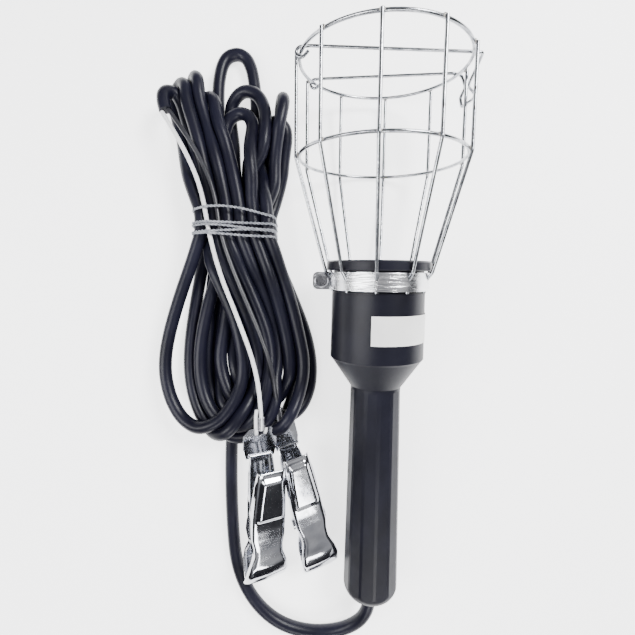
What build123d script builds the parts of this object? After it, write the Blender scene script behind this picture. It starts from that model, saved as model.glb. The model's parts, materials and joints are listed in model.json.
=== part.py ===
from build123d import *
import os
from math import atan2, cos, degrees, radians, sin, sqrt, tan

# Hand-held inspection lamp: wire bulb guard, lampholder head, handle, battery lead in a tied
# hank, and two battery clips. All sizes are in millimetres.
# The lamp is drawn in its own frame: the lamp axis is +Y, y = 0 is the guard's middle ring, and
# +Z is the side that lies uppermost. It is then laid on its side on the ground.

# ---- guard ----
RING_R = 48.5              # ring wire centre
WIRE_D = 2.0               # guard and ring wire
TOP_RING_Y = 53.0
GUARD_WIRES = 10
FIRST_WIRE_ANGLE = 101.5
WELD_GAP = 0.06
BEND_BELOW_RING = 1.5
GUARD_BEND_R = 4.0
CRANK_BEND_R = 2.5
CRANK_BELOW_RIM = 0.8
CRANK_L = 5.5

# ---- clamp band ----
BAND_TOP = -66.5
BAND_W = 10.5
BAND_T = 0.8
BAND_SPLIT_GAP = 3.0
WIRE_SLOT_CLEARANCE = 0.15
TAIL_GAP = 0.06
TAIL_BELOW_BAND = 1.0
EAR_LENGTH = 9.8
EAR_T = 1.0
SCREW_R = 2.5
SCREW_CLEARANCE = 0.15
SCREW_HEAD_R = 4.6
SCREW_HEAD_T = 2.8
SCREW_TO_BAND = 0.3
NUT_AF = 8.0
NUT_T = 4.0
SCREW_PAST_NUT = 1.5

# ---- head ----
RIM_TOP = -59.8
RIM_R = 31.3
RIM_L = 5.7
GROOVE_R = 27.0
BODY_R_TOP = 27.9
BODY_R_LOW = 28.4
BODY_LOW = -119.1
NECK_R = 15.9
NECK_Y = -135.9
HEAD_WALL = 3.1
RIM_BORE_R = 26.0
CAVITY_FLOOR = -105.0
LEAD_PASSAGE_R = 6.0
SPIGOT_R = 11.0
SPIGOT_L = 16.0
SPIGOT_CLEARANCE = 0.1

# ---- lampholder ----
E27_BORE_R = 13.3
SHELL_T = 0.9
SHELL_L = 24.0
HOLDER_R = 20.0
HOLDER_TOP = -71.0
HOLDER_FLOOR = -96.0
HOLDER_BASE_T = 5.0
FLANGE_T = 8.0
FLANGE_GAP = 0.1
HOLDER_SCREW_X = 22.3
HOLDER_SCREW_R = 1.5
HOLDER_SCREW_L = 14.0
HOLDER_SCREW_HEAD_R = 2.2
HOLDER_SCREW_HEAD_T = 2.0
TERMINAL_X = 9.0
TERMINAL_SCREW_R = 1.3
CONTACT_R = 1.6
CONTACT_HEAD_R = 4.5
CONTACT_HEAD_T = 1.4
CONTACT_SEAT = 1.2

# ---- handle ----
HANDLE_R_TOP = 15.4
HANDLE_R_LOW = 17.5
HANDLE_TAPER_END = -267.6
HANDLE_END = -278.0
HANDLE_END_ROUND = 9.9
HANDLE_FACETS = 12
FACET_DEPTH = 0.22
HANDLE_WALL = 4.4
HANDLE_CAVITY_END = -262.0

# ---- label on the head ----
LABEL_TOP = -90.5
LABEL_H = 16.6
LABEL_T = 0.25
LABEL_GAP = 0.03
LABEL_FROM = -22.0
LABEL_TO = 106.0

# ---- cord, its grip in the handle, and the two cores ----
CORD_D = 8.5
CORD_HOLE_CLEARANCE = 0.1
INNER_CORD_L = 34.0
INNER_LEAD_BEND_R = 12.0
GRIP_HALF_W = 9.2
GRIP_L = 9.0
GRIP_H = 5.4
GRIP_SCREW_X = 6.8
GRIP_SCREW_R = 1.25
CORE_D = 2.8
CORE_OFFSET = 2.0

# ---- gate over the open end of the guard ----
GATE_WIRE_D = 1.8
EYELET_R = 2.75
EYELET_ANGLES = (168.5, 216.0)
EYELET_TAIL = 3.2
ARM_ANGLES = (12.0, -18.0)
ARM_ON_RING_GAP = 0.12
CATCH_GAP = 0.95
CATCH_BEND_R = 1.6

# ---- battery clips ----
CLIP_W = 20.0
CLIP_TAIL_W = 15.0
CLIP_T = 1.0
CLIP_SIDE_GAP = 0.35
CLIP_PIN_R = 2.0
CLIP_PIN_CLEARANCE = 0.05
CLIP_PIN_HEAD_R = 3.3
CLIP_PIN_HEAD_T = 1.2
CLIP_EYE_R = 6.5
CLIP_HANDLE_L = 48.0
CLIP_TAB_L = 18.0
CLIP_TAB_W = 15.0
CLIP_HANDLE_SPREAD = 12.8
CLIP_JAW_L = 35.5
CLIP_JAW_GAP = 0.15
CLIP_WAIST_X = -14.0
CLIP_WAIST_H = 9.2
CLIP_TAPER_X = -9.0
CLIP_OPEN_BELOW = 9.0
CLIP_OPEN_BACK = 2.0
NOSE_WALL = 1.2
CLIP_RIB_X = -31.0
CLIP_RIB_L = 27.0
CLIP_RIB_W = 9.0
CLIP_RIB_H = 1.6
CLIP_RIB_ROUND = 2.5
CLIP_RIB_SLOPE = 1.2
RIB_SUNK = 0.6
CLIP_TEETH = 6
CLIP_TOOTH_DEPTH = 2.2
SPRING_WIRE_D = 1.3
SPRING_COIL_R = 3.4
SPRING_TURNS = 5
SPRING_LEG = 21.0
CRIMP_L = 7.0
CRIMP_WALL = 0.8

# ---- where the clips lie: pivot, heading from -Y toward +X, pitch and roll in degrees ----
CLIP_1_PLACE = (-69.5, -232.5, 18.8, -1.5, 11.4, 25.0)
CLIP_2_PLACE = (-41.0, -226.0, 16.4, 14.0, 7.9, 15.0)

HANK_LOW_END = -181.0

# ---- free cord: ground-level route beside the lamp, from the handle to the hank ----
# x from the lamp axis, y from the middle ring; the first two points follow the lamp axis.
LEAD_POINTS = [
    (-4.0, -295.5, 12.0),
    (-12.5, -304.0, 8.0),
    (-24.0, -309.0, 5.2),
    (-40.0, -310.0, CORD_D / 2),
    (-58.0, -305.0, CORD_D / 2),
    (-72.5, -294.5, CORD_D / 2),
    (-83.5, -279.5, CORD_D / 2),
    (-90.5, -261.0, CORD_D / 2),
    (-93.0, -236.0, CORD_D / 2),
    (-94.3, -206.0, CORD_D / 2),
    (-94.3, HANK_LOW_END, CORD_D / 2),
]
FIRST_RUN = 8.0

# ---- hank: stations along Y as (y, middle x, half width, underside, top) ----
HANK_STATIONS = [
    (91.0, -91.0, 12.0, 0.0, 8.6),
    (82.0, -93.0, 22.0, 0.0, 12.0),
    (64.0, -97.0, 37.0, 0.0, 17.0),
    (45.0, -98.5, 43.0, 0.0, 19.0),
    (15.0, -96.5, 37.0, 0.0, 22.0),
    (-16.0, -91.0, 23.5, 2.2, 25.0),
    (-44.0, -89.5, 23.5, 2.2, 25.0),
    (-75.0, -89.5, 38.0, 0.0, 22.0),
    (-105.0, -88.5, 47.5, 0.0, 19.0),
    (-132.0, -88.0, 50.5, 0.0, 17.0),
    (-152.0, -88.5, 45.0, 0.0, 12.5),
    (-170.0, -92.0, 31.0, 0.0, 8.8),
    (HANK_LOW_END, -93.0, 17.0, 0.0, 8.6),
]
HANK_CORNER = 0.42

TIE_BANDS = [(-20.5, 4.2), (-34.0, 12.6)]
TIE_WIRE_D = 1.4
TIE_GAP = 0.3

# ---- cores, from the cut end of the cord over the hank to the clips ----
WHITE_CORE_POINTS = [
    (-135.5, 40.5, 21.6),
    (-128.0, 28.0, 23.4),
    (-118.5, 9.0, 25.2),
    (-110.5, -14.0, 27.0),
    (-106.0, -40.0, 27.0),
    (-99.0, -66.0, 25.8),
    (-87.5, -97.0, 23.4),
    (-77.5, -125.0, 22.3),
]
BLACK_CORE_POINTS = [
    (-131.8, 42.7, 21.6),
    (-123.0, 30.0, 23.4),
    (-111.5, 10.0, 25.2),
    (-102.5, -14.0, 27.0),
    (-98.5, -42.0, 27.0),
    (-88.0, -70.0, 25.4),
    (-75.0, -100.0, 22.8),
    (-65.0, -127.0, 19.6),
]


def polar(radius, angle, y):
    return (radius * cos(radians(angle)), y, radius * sin(radians(angle)))


def tube(points, radii, diameter):
    """Round bar along straight runs joined by tangent arcs."""
    path = FilletPolyline(*points, radius=radii)
    start = Plane(origin=path @ 0, z_dir=path % 0)
    return sweep(start * Circle(diameter / 2), path=path)


def cord_radii(points):
    """One arc per corner, as large as its two runs allow."""
    radii = []
    for before, corner, after in zip(points, points[1:], points[2:]):
        run_in = Vector(*corner) - Vector(*before)
        run_out = Vector(*after) - Vector(*corner)
        turn = run_in.get_angle(run_out)
        shorter = min(run_in.length, run_out.length)
        radii.append(0.45 * shorter / tan(radians(turn / 2)))
    return radii


def revolved(outline):
    """Solid of revolution about the lamp axis from (radius, y) points."""
    face = make_face(Polyline(*[(r, y, 0) for r, y in outline], close=True))
    return revolve(face, axis=Axis.Y, revolution_arc=360)


def ring(radius, y, wire_d):
    return Pos(0, y, 0) * Rot(90, 0, 0) * Torus(radius, wire_d / 2)


def cylinder_y(radius, y_low, y_high, x=0.0, z=0.0):
    middle = (y_low + y_high) / 2
    return Pos(x, middle, z) * Rot(90, 0, 0) * Cylinder(radius, y_high - y_low)


def tube_y(outer, inner, y_low, y_high):
    return cylinder_y(outer, y_low, y_high) - cylinder_y(inner, y_low - 1, y_high + 1)


# ---- sizes that follow from the ones above ----
wire_r = WIRE_D / 2
guard_r = RING_R + WIRE_D + WELD_GAP
tail_r = GROOVE_R + TAIL_GAP + wire_r
band_in_r = tail_r + wire_r + TAIL_GAP
band_out_r = band_in_r + BAND_T
band_low = BAND_TOP - BAND_W
tail_end = band_low - TAIL_BELOW_BAND
groove_low = tail_end - 0.3
crank_out_r = RIM_R + wire_r
crank_out_y = RIM_TOP - RIM_L - CRANK_BELOW_RIM
crank_in_y = crank_out_y - CRANK_L
handle_bore_r = CORD_D / 2 + CORD_HOLE_CLEARANCE
cavity_r = BODY_R_TOP - HEAD_WALL
flange_r = cavity_r - FLANGE_GAP
shell_out_r = E27_BORE_R + SHELL_T
gate_r = GATE_WIRE_D / 2
ring_face = TOP_RING_Y + wire_r

# The lamp lies on the lowest guard wire and on the handle's widest part.
lowest_wire = min(
    range(GUARD_WIRES),
    key=lambda k: sin(radians(FIRST_WIRE_ANGLE + 360 * k / GUARD_WIRES)),
)
lowest_angle = FIRST_WIRE_ANGLE + 360 * lowest_wire / GUARD_WIRES
cage_drop = -guard_r * sin(radians(lowest_angle)) + wire_r
tilt = degrees(atan2(cage_drop - HANDLE_R_LOW, -HANDLE_TAPER_END))
axis_height = cage_drop * cos(radians(tilt)) + BEND_BELOW_RING * sin(radians(tilt))


# ---------------------------------------------------------------- guard

def guard_wire(angle, extra=0.0):
    section = [
        (guard_r, TOP_RING_Y),
        (guard_r, -BEND_BELOW_RING),
        (crank_out_r, crank_out_y),
        (tail_r, crank_in_y),
        (tail_r, tail_end),
    ]
    points = [polar(r, angle, y) for r, y in section]
    radii = [GUARD_BEND_R, CRANK_BEND_R, CRANK_BEND_R]
    return tube(points, radii, WIRE_D + 2 * extra)


def guard_wires():
    return [guard_wire(FIRST_WIRE_ANGLE + 360 * k / GUARD_WIRES) for k in range(GUARD_WIRES)]


def clamp_band():
    hoop = tube_y(band_out_r, band_in_r, band_low, BAND_TOP)
    middle = (BAND_TOP + band_low) / 2
    slit = Pos(-band_out_r, middle, 0) * Box(band_out_r, BAND_W + 2, BAND_SPLIT_GAP)
    hoop -= slit
    ear_z = BAND_SPLIT_GAP / 2 + EAR_T / 2
    ear_in = sqrt(band_in_r**2 - (BAND_SPLIT_GAP / 2 + EAR_T) ** 2)
    ear_out = band_out_r + EAR_LENGTH
    for side in (1, -1):
        ear = Box(ear_out - ear_in, BAND_W, EAR_T)
        ear = fillet(ear.edges().filter_by(Axis.Z).group_by(Axis.X)[0], 3.0)
        hoop += Pos(-(ear_in + ear_out) / 2, middle, side * ear_z) * ear
    hoop -= Pos(screw_x(), middle, 0) * Cylinder(SCREW_R + SCREW_CLEARANCE, 20)
    for k in range(GUARD_WIRES):
        hoop -= guard_wire(FIRST_WIRE_ANGLE + 360 * k / GUARD_WIRES, WIRE_SLOT_CLEARANCE)
    return hoop


def screw_x():
    return -(band_out_r + SCREW_HEAD_R + SCREW_TO_BAND)


def clamp_screw():
    middle = (BAND_TOP + band_low) / 2
    ear_top = BAND_SPLIT_GAP / 2 + EAR_T
    shank_low = -ear_top - NUT_T - SCREW_PAST_NUT
    head = Cylinder(SCREW_HEAD_R, SCREW_HEAD_T, align=(Align.CENTER, Align.CENTER, Align.MIN))
    head = fillet(head.edges().group_by(Axis.Z)[-1], 1.3)
    cross = Box(5.2, 1.1, 3) + Box(1.1, 5.2, 3)
    head -= Pos(0, 0, SCREW_HEAD_T) * cross
    shank = Cylinder(SCREW_R, ear_top - shank_low, align=(Align.CENTER, Align.CENTER, Align.MAX))
    return Pos(screw_x(), middle, ear_top) * (head + shank)


def clamp_nut():
    middle = (BAND_TOP + band_low) / 2
    ear_low = -BAND_SPLIT_GAP / 2 - EAR_T
    nut = extrude(RegularPolygon(NUT_AF / 2, 6, major_radius=False), NUT_T)
    nut -= Cylinder(SCREW_R + 0.02, 3 * NUT_T)
    return Pos(screw_x(), middle, ear_low - NUT_T) * nut


# ---------------------------------------------------------------- head and lampholder

def head():
    outline = [
        (RIM_BORE_R, RIM_TOP),
        (RIM_R - 1.0, RIM_TOP),
        (RIM_R, RIM_TOP - 1.0),
        (RIM_R, RIM_TOP - RIM_L + 0.5),
        (RIM_R - 0.5, RIM_TOP - RIM_L),
        (GROOVE_R, RIM_TOP - RIM_L),
        (GROOVE_R, groove_low),
        (BODY_R_TOP, groove_low),
        (BODY_R_LOW, BODY_LOW + 1.2),
        (BODY_R_LOW - 1.0, BODY_LOW),
        (NECK_R, NECK_Y),
        (SPIGOT_R + SPIGOT_CLEARANCE, NECK_Y),
        (SPIGOT_R + SPIGOT_CLEARANCE, NECK_Y + SPIGOT_L),
        (LEAD_PASSAGE_R, NECK_Y + SPIGOT_L),
        (LEAD_PASSAGE_R, CAVITY_FLOOR),
        (cavity_r, CAVITY_FLOOR),
        (cavity_r, RIM_TOP - RIM_L),
        (RIM_BORE_R, RIM_TOP - RIM_L + 1.5),
    ]
    body = revolved(outline)
    hole_low = CAVITY_FLOOR + FLANGE_T - HOLDER_SCREW_L
    for side in (1, -1):
        body -= cylinder_y(HOLDER_SCREW_R + 0.02, hole_low, CAVITY_FLOOR + 1, side * HOLDER_SCREW_X)
    return body


def lampholder_body():
    flange_top = CAVITY_FLOOR + FLANGE_T
    under = HOLDER_FLOOR - HOLDER_BASE_T
    outline = [
        (shell_out_r + 0.1, HOLDER_TOP),
        (HOLDER_R - 0.8, HOLDER_TOP),
        (HOLDER_R, HOLDER_TOP - 0.8),
        (HOLDER_R, flange_top),
        (flange_r, flange_top),
        (flange_r, CAVITY_FLOOR),
        (HOLDER_R - 2.5, CAVITY_FLOOR),
        (HOLDER_R - 2.5, under),
        (CONTACT_R + 0.05, under),
        (CONTACT_R + 0.05, HOLDER_FLOOR - CONTACT_SEAT),
        (CONTACT_HEAD_R + 0.1, HOLDER_FLOOR - CONTACT_SEAT),
        (CONTACT_HEAD_R + 0.1, HOLDER_FLOOR),
        (shell_out_r + 0.1, HOLDER_FLOOR),
    ]
    body = revolved(outline)
    for side in (1, -1):
        body -= cylinder_y(HOLDER_SCREW_R + 0.1, CAVITY_FLOOR - 1, flange_top + 1, side * HOLDER_SCREW_X)
        body -= cylinder_y(TERMINAL_SCREW_R + 0.05, under - 1, HOLDER_FLOOR + 1, side * TERMINAL_X)
    return body


def screw_shell():
    floor_top = HOLDER_FLOOR + SHELL_T
    outline = [
        (E27_BORE_R, HOLDER_FLOOR + SHELL_L),
        (shell_out_r, HOLDER_FLOOR + SHELL_L),
        (shell_out_r, HOLDER_FLOOR),
        (CONTACT_HEAD_R + 1.2, HOLDER_FLOOR),
        (CONTACT_HEAD_R + 1.2, floor_top),
        (E27_BORE_R, floor_top),
    ]
    shell = revolved(outline)
    shell -= cylinder_y(TERMINAL_SCREW_R + 0.05, HOLDER_FLOOR - 1, floor_top + 1, TERMINAL_X)
    return shell - cylinder_y(TERMINAL_SCREW_R + 1.6, HOLDER_FLOOR - 1, floor_top + 1, -TERMINAL_X)


def centre_contact():
    under = HOLDER_FLOOR - HOLDER_BASE_T
    seat = HOLDER_FLOOR - CONTACT_SEAT
    outline = [
        (0, under - 1.2),
        (CONTACT_R + 1.2, under - 1.2),
        (CONTACT_R + 1.2, under),
        (CONTACT_R, under),
        (CONTACT_R, seat),
        (CONTACT_HEAD_R, seat),
        (CONTACT_HEAD_R - 1.0, seat + CONTACT_HEAD_T - 0.4),
        (0, seat + CONTACT_HEAD_T),
    ]
    return revolved(outline)


def holder_screws():
    screws = []
    seat = CAVITY_FLOOR + FLANGE_T
    for side in (1, -1):
        x = side * HOLDER_SCREW_X
        shank = cylinder_y(HOLDER_SCREW_R, seat - HOLDER_SCREW_L + 0.5, seat, x)
        cap = cylinder_y(HOLDER_SCREW_HEAD_R, seat, seat + HOLDER_SCREW_HEAD_T, x)
        slot = Pos(x, seat + HOLDER_SCREW_HEAD_T, 0) * Box(6, 1.4, 0.7)
        screws.append(shank + cap - slot)
    return screws


def terminal_screws():
    under = HOLDER_FLOOR - HOLDER_BASE_T
    screws = []
    for side in (1, -1):
        x = side * TERMINAL_X
        top = HOLDER_FLOOR + SHELL_T - 0.1 if side == 1 else HOLDER_FLOOR - 0.4
        shank = cylinder_y(TERMINAL_SCREW_R, under - 2.2, top, x)
        washer = cylinder_y(2.7, under - 0.7, under, x)
        cap = cylinder_y(2.3, under - 3.2, under - 2.2, x)
        screws.append(shank + washer + cap)
    return screws


# ---------------------------------------------------------------- handle and what it holds

def handle():
    run = HANDLE_END_ROUND
    low = HANDLE_END
    with BuildSketch(Plane.XY) as section:
        with BuildLine():
            a = Line((SPIGOT_R, NECK_Y + SPIGOT_L - 1), (SPIGOT_R, NECK_Y))
            b = Line(a @ 1, (HANDLE_R_TOP, NECK_Y))
            c = Line(b @ 1, (HANDLE_R_LOW, HANDLE_TAPER_END))
            d = Line(c @ 1, (HANDLE_R_LOW, low + run))
            e = RadiusArc(d @ 1, (HANDLE_R_LOW - run, low), run)
            f = Line(e @ 1, (handle_bore_r, low))
            g = Line(f @ 1, (handle_bore_r, HANDLE_CAVITY_END))
            h = Line(g @ 1, (HANDLE_R_TOP - HANDLE_WALL, HANDLE_CAVITY_END))
            i = Line(h @ 1, (HANDLE_R_TOP - HANDLE_WALL, NECK_Y - 6))
            j = Line(i @ 1, (SPIGOT_R - 3, NECK_Y - 3))
            k = Line(j @ 1, (SPIGOT_R - 3, NECK_Y + SPIGOT_L - 1))
            Line(k @ 1, a @ 0)
        make_face()
    solid = revolve(section.sketch, axis=Axis.Y, revolution_arc=360)
    top_plane = Plane(origin=(0, NECK_Y - 2.0, 0), z_dir=(0, -1, 0))
    low_plane = Plane(origin=(0, HANDLE_END - 1, 0), z_dir=(0, -1, 0))
    top_face = top_plane * RegularPolygon(HANDLE_R_TOP - FACET_DEPTH, HANDLE_FACETS, major_radius=False)
    low_face = low_plane * RegularPolygon(HANDLE_R_LOW - FACET_DEPTH, HANDLE_FACETS, major_radius=False)
    facets = loft([top_face, low_face])
    collar = cylinder_y(HANDLE_R_LOW + 2, NECK_Y - 2.0, NECK_Y + SPIGOT_L)
    return solid & (facets + collar)


def cord_grip():
    """Two bars clamp the cord on the inside of the handle's end wall."""
    bars = []
    y_mid = HANDLE_CAVITY_END + GRIP_L / 2
    for side in (1, -1):
        bar = Pos(0, y_mid, side * (GRIP_H / 2 + 0.3)) * Box(2 * GRIP_HALF_W, GRIP_L, GRIP_H)
        bar -= cylinder_y(CORD_D / 2 + 0.05, y_mid - GRIP_L, y_mid + GRIP_L)
        for x in (GRIP_SCREW_X, -GRIP_SCREW_X):
            bar -= Pos(x, y_mid, 0) * Cylinder(GRIP_SCREW_R + 0.05, 30)
        bars.append(bar)
    return bars


def grip_screws():
    y_mid = HANDLE_CAVITY_END + GRIP_L / 2
    top = GRIP_H + 0.3
    screws = []
    for x in (GRIP_SCREW_X, -GRIP_SCREW_X):
        shank = Pos(x, y_mid, 0) * Cylinder(GRIP_SCREW_R, 2 * top)
        cap = Pos(x, y_mid, top + 0.4) * Cylinder(1.9, 0.8)
        screws.append(shank + cap)
    return screws


def inner_cord():
    return cylinder_y(CORD_D / 2, HANDLE_END, HANDLE_END + INNER_CORD_L)


def inner_leads():
    """The two cores from the cord's jacket up through the lead passage, below the lampholder."""
    start = HANDLE_END + INNER_CORD_L
    leads = []
    for side in (1, -1):
        points = [
            (side * CORE_OFFSET, start, 0),
            (side * CORE_OFFSET, NECK_Y + SPIGOT_L, 0),
            (side * (LEAD_PASSAGE_R - CORE_D / 2 - 0.6), CAVITY_FLOOR - 3, 0),
        ]
        leads.append(tube(points, [INNER_LEAD_BEND_R], CORE_D))
    return leads


def label():
    top_r = BODY_R_TOP
    slope = (BODY_R_LOW - BODY_R_TOP) / (groove_low - BODY_LOW)
    radius_mid = top_r + slope * (groove_low - LABEL_TOP + LABEL_H / 2) + LABEL_GAP
    sheet = tube_y(radius_mid + LABEL_T + 0.2, radius_mid + 0.2, LABEL_TOP - LABEL_H, LABEL_TOP)
    span = LABEL_TO - LABEL_FROM
    reach = 3 * radius_mid
    wedge_points = [(0, 0)]
    steps = 6
    for k in range(steps + 1):
        angle = radians(LABEL_FROM + span * k / steps)
        wedge_points.append((reach * cos(angle), reach * sin(angle)))
    wedge_plane = Plane(origin=(0, LABEL_TOP + 5, 0), x_dir=(1, 0, 0), z_dir=(0, -1, 0))
    wedge = extrude(wedge_plane * make_face(Polyline(*wedge_points, close=True)), LABEL_H + 10)
    return sheet & wedge


# ---------------------------------------------------------------- gate

def gate_points():
    """One wire: tail, eyelet, arm, catch with finger loop, arm, eyelet, tail."""
    first = Vector(*polar(RING_R, EYELET_ANGLES[0], TOP_RING_Y))
    second = Vector(*polar(RING_R, EYELET_ANGLES[1], TOP_RING_Y))
    return first, second


def gate_inward():
    """Unit vector across the chord between the eyelets, toward the catch."""
    first, second = gate_points()
    chord = (second - first).normalized()
    inward = chord.cross(Vector(0, 1, 0)).normalized()
    return inward if inward.X > 0 else inward * -1


def eyelet(centre):
    """Open wire loop round the ring, in the plane across the hinge line."""
    inward = gate_inward()
    up = Vector(0, 1, 0)

    def at(angle):
        turn = radians(angle)
        return centre + (up * cos(turn) - inward * sin(turn)) * EYELET_R

    loop_arc = ThreePointArc(at(0), at(110), at(225))
    tail_way = (inward * cos(radians(45)) + up * sin(radians(45))).normalized()
    tail = Line(at(225), at(225) + tail_way * EYELET_TAIL)
    path = Wire([loop_arc.edge(), tail.edge()])
    start = Plane(origin=at(0), z_dir=inward * -1)
    return sweep(start * Circle(gate_r), path=path)


def gate():
    first, second = gate_points()
    inward = gate_inward()
    arm_y = ring_face + gate_r + ARM_ON_RING_GAP
    out_r = guard_r + wire_r + CATCH_GAP + gate_r
    lift = Vector(0, EYELET_R, 0)
    shoulder_1 = polar(out_r + 0.6, ARM_ANGLES[0] - 1.5, arm_y)
    shoulder_2 = polar(out_r + 0.6, ARM_ANGLES[1] - 0.5, arm_y)
    points = [
        tuple(first + lift),
        tuple(first + lift + inward * 5),
        polar(RING_R + 1, ARM_ANGLES[0], arm_y),
        shoulder_1,
        polar(out_r, -1.5, 50.5),
        polar(out_r, -10.0, 45.5),
        polar(out_r, 4.0, 34.5),
        polar(out_r, -16.0, 35.5),
        polar(out_r, -18.0, 41.5),
        polar(out_r, -12.9, 46.0),
        shoulder_2,
        polar(RING_R - 1, ARM_ANGLES[1], arm_y),
        tuple(second + lift + inward * 5),
        tuple(second + lift),
    ]
    bends = len(points) - 2
    wire = tube(points, [CATCH_BEND_R] * bends, GATE_WIRE_D)
    return wire + eyelet(first) + eyelet(second)


# ---------------------------------------------------------------- battery clips
# A clip is drawn with its rivet along Y at the origin and its jaws toward +X.

def clip_side():
    """Side outline of the upper half, its top and its underside: pressed channel with eye and arched jaw."""
    spread = CLIP_HANDLE_SPREAD
    tail_x = -CLIP_HANDLE_L
    tip = CLIP_JAW_L
    top = [
        (tail_x, spread),
        (CLIP_WAIST_X, CLIP_WAIST_H),
        (0.0, 9.6),
        (12.0, 10.8),
        (23.0, 10.2),
        (31.5, 6.6),
        (tip, CLIP_JAW_GAP),
    ]
    under = [
        (tip - 2.4, CLIP_JAW_GAP),
        (27.5, 5.6),
        (20.0, 7.0),
        (12.5, 5.2),
        (8.5, -1.5),
        (4.5, -CLIP_EYE_R + 0.8),
        (0.0, -CLIP_EYE_R),
        (-4.5, -CLIP_EYE_R + 0.8),
        (-8.5, -1.0),
        (-16.0, 4.2),
        (tail_x, spread - 4.0),
    ]
    return top, under


def extruded_side(outline, width):
    """Closed outline in XZ, as wide as the tapered plan of a clip half."""
    face = make_face(Polyline(*[(x, 0, z) for x, z in outline], close=True))
    slab = extrude(face, width / 2, dir=(0, 1, 0), both=True)
    tail = (width - (CLIP_W - CLIP_TAIL_W)) / 2
    half = width / 2
    plan = [(-2 * CLIP_HANDLE_L, -tail), (-CLIP_HANDLE_L, -tail), (CLIP_TAPER_X, -half), (2 * CLIP_JAW_L, -half)]
    plan += [(x, -y) for x, y in reversed(plan)]
    taper = extrude(make_face(Polyline(*plan, close=True)), CLIP_HANDLE_L, dir=(0, 0, 1), both=True)
    return slab & taper


def clip_half(width):
    """Channel with a wall of sheet, open below and at the tail, bored for the rivet and toothed at the tip."""
    top, under = clip_side()
    outer = extruded_side(top + under, width)
    nose_x = top[-2][0]
    inner_top = [(x - (NOSE_WALL if x >= nose_x else 0.0), z - CLIP_T) for x, z in top]
    inner_top[0] = (inner_top[0][0] - CLIP_OPEN_BACK, inner_top[0][1])
    inner_under = [(x, z - CLIP_OPEN_BELOW) for x, z in under]
    inner_under[0] = (under[0][0] - NOSE_WALL, inner_under[0][1])
    inner_under[-1] = (under[-1][0] - CLIP_OPEN_BACK, inner_under[-1][1])
    half = outer - extruded_side(inner_top + inner_under, width - 2 * CLIP_T)
    half -= Rot(90, 0, 0) * Cylinder(CLIP_PIN_R + CLIP_PIN_CLEARANCE, 2 * width)
    pitch = (width - 2.0) / CLIP_TEETH
    for k in range(CLIP_TEETH):
        y = -width / 2 + 1.0 + pitch * (k + 0.5)
        notch = Pos(CLIP_JAW_L - 1, y, CLIP_JAW_GAP) * Rot(0, 90, 0) * Rot(0, 0, 45) * Box(
            CLIP_TOOTH_DEPTH, CLIP_TOOTH_DEPTH, 8
        )
        half -= notch
    return half


def on_handle_slope(piece, x):
    """Seat a piece drawn on z = 0 on the handle's sloping top at x."""
    rise = (CLIP_HANDLE_SPREAD - CLIP_WAIST_H) / (CLIP_HANDLE_L + CLIP_WAIST_X)
    z = CLIP_WAIST_H + rise * (CLIP_WAIST_X - x)
    return Pos(x, 0, z) * Rot(0, degrees(atan2(rise, 1)), 0) * piece


def handle_rib():
    rib = Box(CLIP_RIB_L, CLIP_RIB_W, CLIP_RIB_H + RIB_SUNK, align=(Align.CENTER, Align.CENTER, Align.MIN))
    rib = fillet(rib.edges().filter_by(Axis.Z), CLIP_RIB_ROUND)
    rib = chamfer(rib.faces().sort_by(Axis.Z)[-1].edges(), CLIP_RIB_SLOPE)
    return on_handle_slope(Pos(0, 0, -RIB_SUNK) * rib, CLIP_RIB_X)


def clip_upper():
    return clip_half(CLIP_W) + handle_rib()


def clip_lower():
    inner_w = CLIP_W - 2 * CLIP_T - 2 * CLIP_SIDE_GAP
    half = mirror(clip_half(inner_w) + handle_rib(), about=Plane.XY)
    tab_low = -CLIP_HANDLE_SPREAD
    tab = Box(CLIP_TAB_L, CLIP_TAB_W, CLIP_T)
    tab = chamfer(tab.edges().filter_by(Axis.Z).group_by(Axis.X)[0], 4.0)
    tab = Pos(-CLIP_HANDLE_L - CLIP_TAB_L / 2 + 0.5, 0, tab_low + CLIP_T / 2) * tab
    barrel_r = CORE_D / 2 + CRIMP_WALL
    barrel_x = -CLIP_HANDLE_L - CLIP_TAB_L + 0.5
    barrel = Rot(0, 90, 0) * Cylinder(barrel_r, CRIMP_L)
    barrel = Pos(barrel_x - CRIMP_L / 2 + 1.5, 0, tab_low + barrel_r) * barrel
    hole = Pos(barrel_x, 0, tab_low + barrel_r) * Rot(0, 90, 0) * Cylinder(CORE_D / 2 + 0.05, 3 * CRIMP_L)
    return half + tab + barrel - hole


def clip_pin():
    length = CLIP_W + 0.1
    pin = Rot(90, 0, 0) * Cylinder(CLIP_PIN_R, length)
    for side in (1, -1):
        y = side * (length / 2 + CLIP_PIN_HEAD_T / 2)
        head_disc = Rot(90, 0, 0) * Cylinder(CLIP_PIN_HEAD_R, CLIP_PIN_HEAD_T)
        pin += Pos(0, y, 0) * head_disc
    return pin


def clip_spring():
    pitch = SPRING_WIRE_D + 0.12
    height = pitch * SPRING_TURNS
    coil_path = Pos(0, height / 2, 0) * Rot(90, 0, 0) * Helix(pitch, height, SPRING_COIL_R)
    start = Plane(origin=coil_path @ 0, z_dir=coil_path % 0)
    coil = sweep(start * Circle(SPRING_WIRE_D / 2), path=coil_path, is_frenet=True)
    pieces = [coil]
    for side in (1, -1):
        y = side * (height / 2 + SPRING_WIRE_D)
        leg_z = side * (SPRING_COIL_R + 0.6)
        reach = Vector(-SPRING_LEG, 0, side * 8.0 - leg_z)
        leg = Plane(origin=(-1.0, y, leg_z), z_dir=reach) * Cylinder(
            SPRING_WIRE_D / 2, SPRING_LEG, align=(Align.CENTER, Align.CENTER, Align.MIN)
        )
        pieces.append(leg)
    return pieces


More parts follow.
